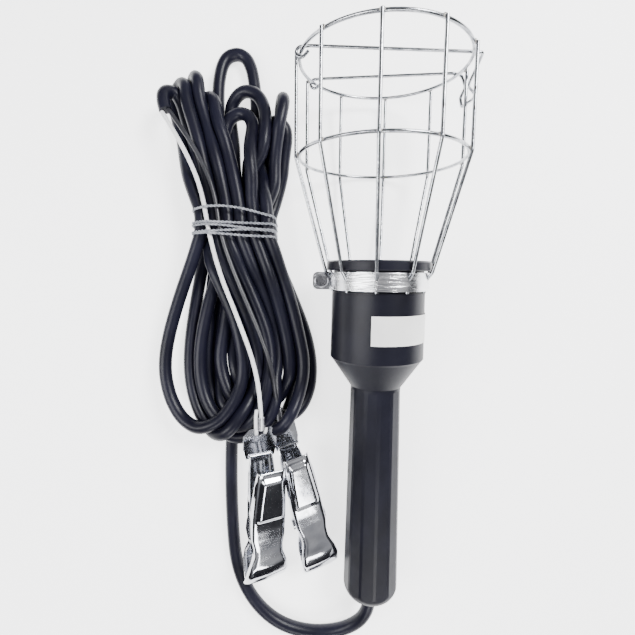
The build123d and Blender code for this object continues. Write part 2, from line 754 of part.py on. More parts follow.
def clip_place(place):
    x, y, z, heading, pitch, roll = place
    return Pos(x, y, z) * Rot(0, 0, heading - 90) * Rot(0, pitch, 0) * Rot(-roll, 0, 0)


# ---------------------------------------------------------------- cord solids

def hank():
    faces = []
    for y, x, half_width, low, high in HANK_STATIONS:
        height = high - low
        plane = Plane(origin=(x, y, (low + high) / 2), x_dir=(1, 0, 0), z_dir=(0, -1, 0))
        faces.append(plane * RectangleRounded(2 * half_width, height, HANK_CORNER * height))
    return loft(faces, ruled=True)


def hank_section(y):
    """Middle x, half width, underside and top of the hank at y."""
    stations = sorted(HANK_STATIONS)
    for low, high in zip(stations, stations[1:]):
        if low[0] <= y <= high[0]:
            share = (y - low[0]) / (high[0] - low[0])
            return [a + share * (b - a) for a, b in zip(low, high)][1:]
    raise ValueError("no hank at this place")


def hank_tie():
    """Bands of tie wire round the waist, with room for the two cores on top."""
    bands = []
    for y, width in TIE_BANDS:
        x, half_width, low, high = hank_section(y)
        in_low = low - TIE_GAP
        in_high = high + 2 * TIE_GAP + CORE_D
        in_half = half_width + TIE_GAP + 0.2
        in_height = in_high - in_low
        origin = (x, y + width / 2, (in_low + in_high) / 2)
        plane = Plane(origin=origin, x_dir=(1, 0, 0), z_dir=(0, -1, 0))
        corner = 4.0
        inner = RectangleRounded(2 * in_half, in_height, corner)
        outer = RectangleRounded(
            2 * (in_half + TIE_WIRE_D), in_height + 2 * TIE_WIRE_D, corner + TIE_WIRE_D
        )
        bands.append(extrude(plane * (outer - inner), width))
    return bands


lamp = {}
lamp["top_ring"] = ring(RING_R, TOP_RING_Y, WIRE_D)
lamp["middle_ring"] = ring(RING_R, 0, WIRE_D)
lamp["guard_wires"] = guard_wires()
lamp["clamp_band"] = clamp_band()
lamp["clamp_screw"] = clamp_screw()
lamp["clamp_nut"] = clamp_nut()
lamp["head"] = head()
lamp["head_label"] = label()
lamp["lampholder_body"] = lampholder_body()
lamp["screw_shell"] = screw_shell()
lamp["centre_contact"] = centre_contact()
lamp["terminal_screws"] = terminal_screws()
lamp["holder_screws"] = holder_screws()
lamp["handle"] = handle()
lamp["cord_grip"] = cord_grip()
lamp["grip_screws"] = grip_screws()
lamp["inner_cord"] = inner_cord()
lamp["inner_leads"] = inner_leads()
lamp["gate"] = gate()


def solids_of(shape):
    items = shape if isinstance(shape, list) else [shape]
    found = []
    for item in items:
        found.extend(item.solids())
    return found


laid = Pos(0, 0, axis_height) * Rot(tilt, 0, 0)
laid_solids = [laid * s for shape in lamp.values() for s in solids_of(shape)]
lamp_box = Compound(children=laid_solids).bounding_box()
to_origin = Pos(-lamp_box.center().X, -lamp_box.center().Y, -lamp_box.min.Z)
place_lamp = to_origin * laid

parts = {name: [place_lamp * s for s in solids_of(shape)] for name, shape in lamp.items()}

# ---- clips ----
clip_builders = {"upper": clip_upper, "lower": clip_lower, "pin": clip_pin, "spring": clip_spring}
clip_places = {1: to_origin * clip_place(CLIP_1_PLACE), 2: to_origin * clip_place(CLIP_2_PLACE)}
for number, location in clip_places.items():
    for piece, builder in clip_builders.items():
        parts[f"clip_{number}_{piece}"] = [location * s for s in solids_of(builder())]

# ---- free cord ----
exit_point = laid * Vertex(0, HANDLE_END, 0)
exit_way = laid * Vertex(0, HANDLE_END - FIRST_RUN, 0)
lead_route = [tuple(exit_point.center()), tuple(exit_way.center())] + LEAD_POINTS
lead_radii = cord_radii(lead_route)
parts["cord_lead"] = [to_origin * s for s in solids_of(tube(lead_route, lead_radii, CORD_D))]
parts["cord_hank"] = [to_origin * s for s in solids_of(hank())]
parts["hank_tie"] = [to_origin * s for s in solids_of(hank_tie())]


def core(points, place):
    """Core from the cut end of the cord into a clip's crimp."""
    barrel_r = CORE_D / 2 + CRIMP_WALL
    height = -CLIP_HANDLE_SPREAD + barrel_r
    mouth_x = -CLIP_HANDLE_L - CLIP_TAB_L - CRIMP_L + 2.0
    location = clip_place(place)
    ends = [location * Vertex(x, 0, height) for x in (mouth_x - 9.0, mouth_x + CRIMP_L - 1.0)]
    route = points + [tuple(end.center()) for end in ends]
    radii = cord_radii(route)
    return tube(route, radii, CORE_D), radii, route


white, white_radii, white_route = core(WHITE_CORE_POINTS, CLIP_1_PLACE)
black, black_radii, black_route = core(BLACK_CORE_POINTS, CLIP_2_PLACE)
parts["white_core"] = [to_origin * s for s in solids_of(white)]
parts["black_core"] = [to_origin * s for s in solids_of(black)]

os.makedirs("parts", exist_ok=True)
for name, solids in parts.items():
    shape = solids[0] if len(solids) == 1 else Compound(children=solids)
    export_step(shape, f"parts/{name}.step")

# ---- what the record needs ----
def report(title, point):
    print(title, [round(v / 1000, 6) for v in point])


print("tilt", round(tilt, 4), "axis height", round(axis_height, 3))
for title, radii in (("lead", lead_radii), ("white core", white_radii), ("black core", black_radii)):
    print(title, "bend radii", [round(r, 1) for r in radii])
report("offset", tuple(to_origin.position))
for title, route in (("lead", lead_route), ("white", white_route), ("black", black_route)):
    print(title, "route", [tuple(round(v, 2) for v in p) for p in route])
hinge_first, hinge_second = gate_points()
hinge_way = (place_lamp * Vertex(*hinge_first)).center() - (place_lamp * Vertex(*hinge_second)).center()
print("gate axis", [round(v, 6) for v in hinge_way.normalized()])
for title, point in (("gate eye 1", hinge_first), ("gate eye 2", hinge_second)):
    report(title, tuple((place_lamp * Vertex(*point)).center()))
for number, location in clip_places.items():
    report(f"clip {number} pivot", tuple((location * Vertex(0, 0, 0)).center()))
    report(f"clip {number} pin way x 1 m", tuple((location * Vertex(0, 1000, 0)).center()))
report("socket mouth", tuple((place_lamp * Vertex(0, HOLDER_FLOOR + SHELL_L, 0)).center()))
report("socket axis 1 m out", tuple((place_lamp * Vertex(0, HOLDER_FLOOR + SHELL_L + 1000, 0)).center()))
report("cord exit", tuple((place_lamp * Vertex(0, HANDLE_END, 0)).center()))
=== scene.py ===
import json
import math

import bpy
import numpy as np
from mathutils import Matrix, Vector


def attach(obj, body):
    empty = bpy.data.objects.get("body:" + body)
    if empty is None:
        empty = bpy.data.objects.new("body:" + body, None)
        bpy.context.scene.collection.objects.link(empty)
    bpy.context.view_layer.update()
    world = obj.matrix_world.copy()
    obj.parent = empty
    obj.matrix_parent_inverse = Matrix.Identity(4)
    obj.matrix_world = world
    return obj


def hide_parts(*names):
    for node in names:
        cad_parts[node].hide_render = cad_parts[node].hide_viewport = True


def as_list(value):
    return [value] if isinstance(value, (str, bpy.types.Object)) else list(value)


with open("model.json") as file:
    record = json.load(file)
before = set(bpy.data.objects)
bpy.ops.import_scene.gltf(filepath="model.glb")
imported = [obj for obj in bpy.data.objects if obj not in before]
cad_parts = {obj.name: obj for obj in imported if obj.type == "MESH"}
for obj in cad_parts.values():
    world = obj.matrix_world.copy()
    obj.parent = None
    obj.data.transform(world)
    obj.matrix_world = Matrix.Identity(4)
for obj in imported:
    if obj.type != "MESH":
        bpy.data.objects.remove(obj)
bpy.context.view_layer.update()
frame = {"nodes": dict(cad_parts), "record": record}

NODES = frame["nodes"]

# ---- the bench frame: x from the lamp's axis, y from the middle ring, z from the floor, in mm ----
BENCH_SHIFT = np.array((-1.527, 108.593, -0.029))
MM = 0.001


def row(points):
    """Bench points in mm as row-frame points in metres."""
    return (np.array(points, float) + BENCH_SHIFT) * MM


# ---- the lamp's own axis, from the socket mount ----
MOUNT = next(m for m in frame["record"]["mounts"] if m["name"] == "e27_socket")
AXIS = Vector(MOUNT["axis"]).normalized()
SIDE = Vector((1, 0, 0))
UP = SIDE.cross(AXIS)
MOUTH = Vector(MOUNT["pos_m"])
MOUTH_BELOW_RING = 0.072
RING_CENTRE = MOUTH + AXIS * MOUTH_BELOW_RING


def at_lamp(angle, radius, along):
    """A point round the lamp's axis, along metres from the middle ring."""
    spoke = SIDE * math.cos(angle) + UP * math.sin(angle)
    return RING_CENTRE + AXIS * along + spoke * radius


# ---- camera ----
camera_data = bpy.data.cameras.new("camera")
camera_data.sensor_width = 36.0
camera_data.lens = 23.23
camera = bpy.data.objects.new("camera", camera_data)
camera.location = (-0.0447, 0.0122, 0.2893)
camera.rotation_euler = (0.0108, -0.0261, 0.0079)
bpy.context.scene.collection.objects.link(camera)
bpy.context.scene.camera = camera


# ---- materials ----
def ramp(nodes, stops):
    """A colour ramp node with the stops (place, rgb)."""
    made = nodes.new("ShaderNodeValToRGB")
    elements = made.color_ramp.elements
    while len(elements) < len(stops):
        elements.new(0.5)
    for element, (place, rgb) in zip(elements, stops):
        element.position = place
        element.color = (*rgb, 1)
    return made


def noise(tree, space, scale, detail=4.0, stretch=(1, 1, 1), distortion=0.0):
    """Noise in the object's own space, with scale cells to the metre."""
    mapping = tree.nodes.new("ShaderNodeMapping")
    mapping.inputs["Scale"].default_value = stretch
    tree.links.new(space.outputs["Object"], mapping.inputs["Vector"])
    made = tree.nodes.new("ShaderNodeTexNoise")
    made.inputs["Scale"].default_value = scale
    made.inputs["Detail"].default_value = detail
    made.inputs["Distortion"].default_value = distortion
    tree.links.new(mapping.outputs["Vector"], made.inputs["Vector"])
    return made


def finish_of(
    name,
    dark,
    light,
    patch=60.0,
    rough=(0.3, 0.5),
    grain=900.0,
    stretch=(1, 1, 1),
    bump=0.05,
    wave=None,
    **fixed,
):
    """A procedural material: patchy colour and roughness, a bump of grain over slower waves."""
    made = bpy.data.materials.new(name)
    made.use_nodes = True
    tree = made.node_tree
    shader = tree.nodes["Principled BSDF"]
    space = tree.nodes.new("ShaderNodeTexCoord")
    patches = noise(tree, space, patch, 5.0, stretch, 0.3)
    tone = ramp(tree.nodes, [(0.32, dark), (0.7, light)])
    tree.links.new(patches.outputs[0], tone.inputs[0])
    tree.links.new(tone.outputs[0], shader.inputs["Base Color"])
    fine = noise(tree, space, grain, 3.0, stretch)
    spread = tree.nodes.new("ShaderNodeMapRange")
    spread.inputs["To Min"].default_value = rough[0]
    spread.inputs["To Max"].default_value = rough[1]
    tree.links.new(fine.outputs[0], spread.inputs["Value"])
    tree.links.new(spread.outputs["Result"], shader.inputs["Roughness"])
    grains = tree.nodes.new("ShaderNodeBump")
    grains.inputs["Strength"].default_value = bump
    grains.inputs["Distance"].default_value = 0.0004
    tree.links.new(fine.outputs[0], grains.inputs["Height"])
    last = grains
    if wave:
        slow = noise(tree, space, wave[0], 1.5, stretch, 0.6)
        waves = tree.nodes.new("ShaderNodeBump")
        waves.inputs["Strength"].default_value = wave[1]
        waves.inputs["Distance"].default_value = 0.002
        tree.links.new(slow.outputs[0], waves.inputs["Height"])
        tree.links.new(grains.outputs["Normal"], waves.inputs["Normal"])
        last = waves
    tree.links.new(last.outputs["Normal"], shader.inputs["Normal"])
    for socket, value in fixed.items():
        shader.inputs[socket.replace("_", " ").title().replace("Ior", "IOR")].default_value = value
    return made


WIRE = finish_of(
    "wire", (0.2, 0.21, 0.23), (0.5, 0.51, 0.53), 160, (0.12, 0.28), 2600, bump=0.12, metallic=1.0
)
WELD = finish_of(
    "weld", (0.2, 0.19, 0.18), (0.5, 0.48, 0.45), 900, (0.3, 0.55), 3000, bump=0.3, metallic=1.0
)
BAND = finish_of(
    "band", (0.62, 0.63, 0.65), (0.88, 0.88, 0.9), 45, (0.14, 0.34), 1400,
    (1, 9, 1), 0.1, (70, 0.25), metallic=1.0,
)
FASTENER = finish_of(
    "fastener", (0.24, 0.24, 0.26), (0.5, 0.5, 0.52), 220, (0.18, 0.4), 2200,
    bump=0.15, metallic=1.0,
)
CHROME = finish_of(
    "clip_chrome", (0.42, 0.43, 0.47), (0.68, 0.69, 0.72), 70, (0.05, 0.16), 1500,
    bump=0.03, wave=(60, 0.12), metallic=1.0,
)
SPRING = finish_of(
    "spring", (0.3, 0.31, 0.33), (0.6, 0.61, 0.64), 200, (0.2, 0.36), 2400, bump=0.1, metallic=1.0
)
MOULDING = finish_of(
    "moulding", (0.0025, 0.0025, 0.006), (0.007, 0.0072, 0.014), 38, (0.32, 0.46), 1700,
    bump=0.1, wave=(60, 0.06), specular_ior_level=0.2,
)
SHEATH = finish_of(
    "sheath", (0.003, 0.003, 0.008), (0.009, 0.0092, 0.019), 30, (0.3, 0.44), 1300,
    bump=0.12, specular_ior_level=0.2,
)
PAPER = finish_of(
    "label_paper", (0.78, 0.78, 0.77), (0.88, 0.88, 0.87), 40, (0.42, 0.6), 2800, bump=0.08
)
PORCELAIN = finish_of(
    "porcelain", (0.55, 0.53, 0.48), (0.78, 0.76, 0.7), 50, (0.12, 0.28), 900, bump=0.05
)
BRASS = finish_of(
    "brass", (0.42, 0.28, 0.1), (0.78, 0.58, 0.26), 120, (0.2, 0.42), 1900, bump=0.12, metallic=1.0
)
FIBRE = finish_of(
    "grip_fibre", (0.1, 0.035, 0.02), (0.2, 0.075, 0.04), 180, (0.5, 0.75), 1200,
    (1, 1, 6), 0.3,
)
CORE_WHITE = finish_of(
    "core_white", (0.74, 0.74, 0.75), (0.88, 0.88, 0.89), 60, (0.25, 0.4), 1500, bump=0.06
)
CORE_BLACK = finish_of(
    "core_black", (0.012, 0.012, 0.016), (0.03, 0.03, 0.036), 60, (0.28, 0.44), 1500, bump=0.06
)
TIE = finish_of(
    "tie_wire", (0.2, 0.21, 0.24), (0.42, 0.43, 0.47), 300, (0.32, 0.5), 2500,
    bump=0.15, metallic=0.35,
)
FLOOR = finish_of(
    "floor", (0.88, 0.88, 0.89), (0.91, 0.91, 0.92), 3, (0.6, 0.72), 300, bump=0.01,
    emission_color=(1, 1, 1, 1), emission_strength=2.2,
)

FINISHES = {
    "top_ring": WIRE, "middle_ring": WIRE, "guard_wires": WIRE, "gate": WIRE,
    "clamp_band": BAND, "clamp_screw": FASTENER, "clamp_nut": FASTENER,
    "head": MOULDING, "handle": MOULDING, "head_label": PAPER,
    "lampholder_body": PORCELAIN, "centre_contact": BRASS, "terminal_screws": BRASS,
    "holder_screws": FASTENER, "grip_screws": FASTENER, "cord_grip": FIBRE,
    "inner_cord": SHEATH, "inner_leads": CORE_WHITE,
}
for number in (1, 2):
    for part in ("upper", "lower", "pin"):
        FINISHES[f"clip_{number}_{part}"] = CHROME
    FINISHES[f"clip_{number}_spring"] = SPRING
for node, finish in FINISHES.items():
    piece = NODES[node]
    if not piece.material_slots:
        piece.data.materials.append(finish)
    for place in piece.material_slots:
        place.material = finish


# ---- tools for pieces ----
def keep(name, data, finish, body="lamp"):
    """A new piece in the row frame that rides on a body."""
    made = bpy.data.objects.new(name, data)
    bpy.context.scene.collection.objects.link(made)
    made.data.materials.append(finish)
    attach(made, body)
    return made


def cord_curve(name, points, diameter, finish, resolution=6):
    """One open NURBS spline with the points as its control points, with a round section."""
    data = bpy.data.curves.new(name, "CURVE")
    data.dimensions = "3D"
    data.bevel_depth = diameter / 2
    data.bevel_resolution = 5
    data.use_fill_caps = True
    data.resolution_u = resolution
    spline = data.splines.new("NURBS")
    spline.points.add(len(points) - 1)
    for place, point in zip(spline.points, points):
        place.co = (*point, 1)
    spline.order_u = 3
    spline.use_endpoint_u = True
    return keep(name, data, finish)


def tube_rings(line, radius, sides):
    """Rings of points round a line, kept from twisting."""
    line = [Vector(p) for p in line]
    across = None
    for i, point in enumerate(line):
        along = (line[min(i + 1, len(line) - 1)] - line[max(i - 1, 0)]).normalized()
        if across is None:
            across = along.orthogonal().normalized()
        across = (across - along * across.dot(along)).normalized()
        other = along.cross(across)
        turns = (2 * math.pi * k / sides for k in range(sides))
        yield [point + (across * math.cos(t) + other * math.sin(t)) * radius for t in turns]


def tubes(name, lines, radius, sides=10):
    """A mesh of closed round tubes along the lines."""
    vertices, faces = [], []
    for line in lines:
        start = len(vertices)
        rings = list(tube_rings(line, radius, sides))
        for ring in rings:
            vertices.extend(ring)
        for i in range(len(rings) - 1):
            a = start + i * sides
            for k in range(sides):
                n = (k + 1) % sides
                faces.append((a + k, a + n, a + sides + n, a + sides + k))
        faces.append(tuple(start + k for k in reversed(range(sides))))
        faces.append(tuple(start + (len(rings) - 1) * sides + k for k in range(sides)))
    mesh = bpy.data.meshes.new(name)
    mesh.from_pydata(vertices, [], faces)
    mesh.shade_smooth()
    mesh.update()
    return mesh


def evenly(points, step, samples=12):
    """A Catmull-Rom line through the points, with its own points about step apart."""
    p = np.array(points, float)
    p = np.vstack([2 * p[0] - p[1], p, 2 * p[-1] - p[-2]])
    t = np.linspace(0, 1, samples, endpoint=False)[:, None]
    found = []
    for a, b, c, d in zip(p[:-3], p[1:-2], p[2:-1], p[3:]):
        found.append(
            0.5 * (
                2 * b + (c - a) * t + (2 * a - 5 * b + 4 * c - d) * t**2
                + (3 * b - a - 3 * c + d) * t**3
            )
        )
    line = np.vstack([*found, p[-2:-1]])
    along = np.concatenate([[0], np.cumsum(np.linalg.norm(np.diff(line, axis=0), axis=1))])
    at = np.linspace(0, along[-1], int(along[-1] / step) + 1)
    return np.stack([np.interp(at, along, line[:, k]) for k in range(3)], axis=1)


# ---- main cord: the lead, and the hank's turns on the same spline ----
CORD_D = 8.5
LEAD_POINTS = [
    (0, -275.9, 16.28), (0, -283.84, 15.3), (-4, -295.5, 12), (-12.5, -304, 8),
    (-24, -309, 5.2), (-40, -310, 4.25), (-58, -305, 4.25), (-72.5, -294.5, 4.25),
    (-83.5, -279.5, 4.25), (-90.5, -261, 4.25), (-93, -236, 4.25), (-94.3, -206, 4.25),
    (-94.3, -181, 4.25),
]
WAIST_Y = -33.5
WAIST_X = -91.0
COLUMN = 8.6
LAYERS = (6.5, 13.95, 21.4)
# Each turn, in the order it was wound: its top fold (apex x, apex y, half width, half height,
# middle height, length), its way down and up through the waist (column, layer), and its
# bottom fold (left x, right x, lowest y, height).
TURNS = [
    ((-64.0, 46, 6.0, 3.5, 8.0, 20), (4, 0), (4.5, 1), (-86.5, -38.5, -168, 4.3)),
    ((-61.5, 63, 3.0, 7.5, 12.0, 16), (3, 0), (5, 2), (-96, -43.5, -175, 5.0)),
    ((-93.5, 96, 13.6, 0.0, 5.0, 34), (2, 0), (3.5, 1), (-104.8, -48, -179, 4.3)),
    ((-86.0, 64.5, 17.5, 1.5, 13.0, 26), (2.5, 1), (4, 2), (-98.7, -52.7, -165, 9.0)),
    ((-88.5, 50, 10.5, 1.5, 15.0, 20), (1, 0), (3, 2), (-111.6, -59, -178, 9.0)),
    ((-114.5, 61, 7.0, 5.0, 11.0, 18), (1.5, 1), (2, 2), (-116, -64.9, -172, 13.0)),
    ((-121.5, 75, 3.0, 7.5, 12.5, 16), (0, 0), (1, 2), (-124.4, -71.5, -175, 13.0)),
    ((-133.0, 68, 5.5, 6.0, 13.0, 16), (0, 2), (0.5, 1), (-139.0, -82, -171, 20.0)),
]
FIRST_UP = (5, 0)
CORD_END = [
    (-119.5, 20, 10.5), (-124.0, 43, 10.0), (-129.5, 54.5, 12.0), (-135.5, 57.0, 16.5),
    (-139.2, 52.0, 20.3), (-137.9, 45.0, 21.5), (-136.2, 40.6, 21.6),
]
LOBE_Y = -122.0
# Two runs of the settled line are never folded closer than this, end to end.
TIGHTEST_CHORD = 13.6


def slot_at(place):
    column, layer = place
    return WAIST_X + (column - 2.5) * COLUMN, LAYERS[layer]


def fold(cx, cy, half_w, depth, z, half_z, first, last, count):
    """Points round the end of a turn, from the angle first to last, in degrees."""
    turn = np.radians(np.linspace(first, last, count))
    xs = cx + half_w * np.cos(turn)
    ys = cy + depth * np.sin(turn)
    return list(zip(xs, ys, z + half_z * np.cos(turn)))


def hank_guides():
    """The turns as they would lie if nothing pushed them: top fold, waist, bottom fold, waist."""
    x, z = slot_at(FIRST_UP)
    guides = [(-92.0, -150, 4.25), (-84.0, -95, 4.3), (x - 3, -58, 5.5)]
    guides += [(x, WAIST_Y - 9, z), (x, WAIST_Y + 9, z)]
    for top, down, up, bottom in TURNS:
        apex_x, apex_y, half_w, half_z, mid_z, length = top
        last_x = guides[-1][0]
        guides.append(
            (0.5 * (last_x + apex_x + half_w), 0.45 * (apex_y - length), mid_z + 0.6 * half_z)
        )
        guides += fold(apex_x, apex_y - length, half_w, length, mid_z, half_z, 0, 180, 7)
        x, z = slot_at(down)
        guides.append((0.5 * (x + apex_x - half_w), 0.45 * (apex_y - length), mid_z - 0.6 * half_z))
        guides += [(x, WAIST_Y + 9, z), (x, WAIST_Y - 9, z)]
        left, right, low, height = bottom
        mid, half = (left + right) / 2, (right - left) / 2
        guides.append((0.55 * left + 0.45 * x, -78, (z + height) / 2))
        guides += fold(mid, LOBE_Y, half, LOBE_Y - low, height, 0, 180, 360, 7)
        x, z = slot_at(up)
        guides.append((0.55 * right + 0.45 * x, -78, (z + height) / 2))
        guides += [(x, WAIST_Y - 9, z), (x, WAIST_Y + 9, z)]
    return guides + CORD_END


def nearest(p, i, j):
    """Where on runs i and j of the line they come nearest, and the step between those places."""
    u, v, w = p[i + 1] - p[i], p[j + 1] - p[j], p[i] - p[j]
    uu, uv, vv = (u * u).sum(1), (u * v).sum(1), (v * v).sum(1)
    uw, vw = (u * w).sum(1), (v * w).sum(1)
    s = np.clip((uv * vw - vv * uw) / np.maximum(uu * vv - uv * uv, 1e-6), 0, 1)
    t = np.clip((uv * s + vw) / vv, 0, 1)
    s = np.clip((uv * t - uw) / uu, 0, 1)
    return s, t, w + s[:, None] * u - t[:, None] * v


# Shares of a move that one round of settling takes, and how far a round sinks the cord, in mm.
BEND_SHARE = 0.25
CHORD_SHARE = 0.25
SINK_STEP = 0.05


def settle(line, rounds=420, lag=6):
    """Turns push each other a diameter apart, bend as a stiff cord does, and sink to the floor."""
    p = line.copy()
    count = len(p)
    run = np.linalg.norm(np.diff(line, axis=0), axis=1)
    held = np.zeros(count, bool)
    held[:2] = held[-4:] = True
    waist = np.abs(line[:, 1] - WAIST_Y) < 10
    pull = np.where(waist, 0.3, 0.03)[:, None] * np.array((1, 1, 0.25))
    pull[waist, 2] = 0.3
    for k in range(rounds):
        if k % 8 == 0:
            middle = (p[1:] + p[:-1]) / 2
            gap = np.linalg.norm(middle[:, None] - middle[None], axis=2)
            i, j = np.where(np.triu(gap < CORD_D * 2.4, lag))
        before = p.copy()
        bent = (p[:-2] + p[2:]) / 2 - p[1:-1]
        p[1:-1] += BEND_SHARE * bent
        chord = p[2:] - p[:-2]
        size = np.linalg.norm(chord, axis=1)
        short = np.maximum(TIGHTEST_CHORD - size, 0)
        open_up = (CHORD_SHARE * short / np.maximum(size, 1))[:, None] * chord
        p[2:] += open_up
        p[:-2] -= open_up
        p += pull * (line - p)
        p[:, 2] -= SINK_STEP
        for first in (0, 1):
            a, b = np.arange(first, count - 1, 2), np.arange(first, count - 1, 2) + 1
            step = p[b] - p[a]
            long = np.linalg.norm(step, axis=1)
            change = (0.5 * (long - run[a]) / long)[:, None] * step
            p[a] += change
            p[b] -= change
        s, t, apart = nearest(p, i, j)
        far = np.linalg.norm(apart, axis=1)
        close = far < CORD_D
        s, t, far = s[close], t[close], far[close]
        step = ((CORD_D - far) / np.maximum(far, 1e-3) * 0.3)[:, None] * apart[close]
        a, b = i[close], j[close]
        for index, share in ((a, 1 - s), (a + 1, s), (b, t - 1), (b + 1, -t)):
            np.add.at(p, index, share[:, None] * step)
        p[:, 2] = np.maximum(p[:, 2], CORD_D / 2)
        p[held] = before[held]
    return p


hank_line = settle(evenly([LEAD_POINTS[-1], *hank_guides()], 8.0))
main_cord = cord_curve(
    "main_cord", row([*LEAD_POINTS, *hank_line[1:]]), CORD_D * MM, SHEATH, 4
)
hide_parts("cord_lead", "cord_hank")

# ---- the two cores that come out of the cut sheath and go to the clips ----
CORE_D = 2.8
WHITE_POINTS = [
    (-138.5, 39.5, 21.6), (-130.5, 27, 24.6), (-119.5, 8, 26.2), (-110.5, -14, 27.5),
    (-106, -40, 27.8), (-99, -66, 27.4), (-86.0, -97, 28), (-75.5, -125, 29),
    (-71.88, -152.09, 25.2), (-72.26, -166.79, 22.23),
]
BLACK_POINTS = [
    (-134.8, 41.7, 21.6), (-125.5, 29, 24.6), (-112.5, 9, 26.2), (-102.5, -14, 27.5),
    (-98.5, -42, 28), (-88, -70, 26.6), (-75, -100, 24.5), (-65, -127, 24.5),
    (-63.17, -148.41, 17.25), (-59.58, -162.83, 15.19),
]
white_core = cord_curve("white_cord", row(WHITE_POINTS), CORE_D * MM, CORE_WHITE, 16)
black_core = cord_curve("black_cord", row(BLACK_POINTS), CORE_D * MM, CORE_BLACK, 16)
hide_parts("white_core")
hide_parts("black_core")

# ---- the wire tie: one wrap above, four below, of two wires twisted together ----
TIE_STRAND_R = 0.45
TIE_PITCH = 5.0
TIE_LIFT = 0.95


def outline_at(y, spread=5.0):
    """The convex outline, in x and z, of all the cord that lies within spread of y."""
    near = hank_line[np.abs(hank_line[:, 1] - y) < spread]
    cores = evenly(WHITE_POINTS, 3.0), evenly(BLACK_POINTS, 3.0)
    turns = np.radians(np.arange(0, 360, 20))
    round_it = np.stack([np.cos(turns), np.sin(turns)], axis=1)
    spots = (near[:, None, (0, 2)] + round_it * (CORD_D / 2 + TIE_LIFT)).reshape(-1, 2)
    for line in cores:
        part = line[np.abs(line[:, 1] - y) < spread]
        core_spots = part[:, None, (0, 2)] + round_it * (CORE_D / 2 + TIE_LIFT)
        spots = np.vstack([spots, core_spots.reshape(-1, 2)])
    spots = spots[np.lexsort((spots[:, 1], spots[:, 0]))]
    chains = []
    for run in (spots, spots[::-1]):
        chain = []
        for spot in run:
            while len(chain) > 1:
                u, v = chain[-1] - chain[-2], spot - chain[-1]
                if u[0] * v[1] - u[1] * v[0] > 0:
                    break
                chain.pop()
            chain.append(spot)
        chains += chain[:-1]
    return np.array(chains)


def wrap(start, turns, y_of, steps=120):
    """Points of a wire wound round the waist from the angle start, at the y that y_of gives."""
    hull = outline_at(WAIST_Y - 1)
    middle = (hull.max(0) + hull.min(0)) / 2
    away = hull - middle
    angles = np.arctan2(away[:, 1], away[:, 0])
    order = np.argsort(angles)
    angles, away = angles[order], away[order]
    found = []
    for i in range(int(turns * steps) + 1):
        share = i / (turns * steps)
        turn = start - 2 * math.pi * i / steps
        at = (turn + math.pi) % (2 * math.pi) - math.pi
        x = np.interp(at, angles, away[:, 0], period=2 * math.pi)
        z = np.interp(at, angles, away[:, 1], period=2 * math.pi)
        found.append((middle[0] + x, y_of(turn, share), max(middle[1] + z, TIE_LIFT)))
    return found


def twisted(line, radius=TIE_STRAND_R, pitch=TIE_PITCH):
    """Two lines that wind round the given one."""
    both = [[], []]
    across = None
    line = [Vector(p) for p in line]
    gone = 0.0
    for i, point in enumerate(line):
        along = (line[min(i + 1, len(line) - 1)] - line[max(i - 1, 0)]).normalized()
        if i:
            gone += (point - line[i - 1]).length
        if across is None:
            across = along.orthogonal().normalized()
        across = (across - along * across.dot(along)).normalized()
        turn = 2 * math.pi * gone / pitch
        step = (across * math.cos(turn) + along.cross(across) * math.sin(turn)) * radius
        both[0].append(point + step)
        both[1].append(point - step)
    return both


def tie_lines():
    """The upper wrap, the four lower ones, and the two free ends."""
    upper = wrap(
        math.radians(200), 1.0,
        lambda t, share: -28.5 + 4.5 * max(0.0, math.sin(t)) - 2.2 * math.cos(t),
    )
    lower = wrap(
        math.radians(190), 4.0,
        lambda t, share: (
            -33.0 - 10.0 * share + 1.4 * math.sin(1.55 * t + 1) * (1 - abs(2 * share - 1))
        ),
    )
    x, y, z = lower[-1]
    bends = [(x - 1.5, y - 2, z + 1.5), (x - 2.6, y - 5, z + 0.5), (x - 1.8, y - 8, z - 1.5)]
    tail = evenly([(x, y, z), *bends], 0.8)
    x, y, z = upper[0]
    bends = [(x - 1.6, y - 3, z + 1.2), (x - 2.4, y - 7, z + 2.0), (x - 1.2, y - 10, z)]
    hook = evenly([(x, y, z), *bends], 0.8)
    return [upper, lower, tail, hook]


tie_strands = []
for line in tie_lines():
    close = evenly(line, 0.7, 3)
    for strand in twisted(close):
        tie_strands.append(row(strand))
tie = keep("tie", tubes("tie", tie_strands, TIE_STRAND_R * MM, 8), TIE)
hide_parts("hank_tie")

# ---- battery clips: pressed sheet ----
# Each is drawn with the rivet along Y at the origin and the jaws toward +X.
CLIP_PLACES = {
    1: (-69.5, -232.5, 18.8, -1.5, 11.4, 25.0),
    2: (-41.0, -226.0, 16.4, 14.0, 7.9, 15.0),
}
CLIP_SPREAD = {1: 1.12, 2: 1.0}
CLIP_SHEET = 0.8
LOWER_INSET = 1.35
SHOULDER_R = 2.8
# Along the upper half: x, height of its top, half its width, depth of its side walls.
CLIP_STATIONS = np.array((
    (-48.0, 12.4, 8.0, 2.4), (-44.0, 12.3, 8.3, 4.0), (-30.0, 11.0, 9.2, 6.0),
    (-15.0, 9.6, 10.0, 9.0),
    (-7.0, 9.2, 10.0, 13.5), (0.0, 9.3, 10.0, 15.6), (6.0, 9.8, 8.7, 12.0), (11.0, 10.6, 8.6, 6.0),
    (18.0, 11.2, 11.0, 4.6), (25.0, 9.9, 12.4, 4.2), (31.0, 6.4, 12.7, 3.6), (34.2, 3.0, 12.7, 2.4),
    (35.9, 0.1, 12.7, 1.2),
))
DOME_FROM, DOME_TO, DOME_H = -45.5, -12.5, 2.8
TOOTH_PITCH, TOOTH_L = 3.6, 1.5
TAB_Z = -12.8


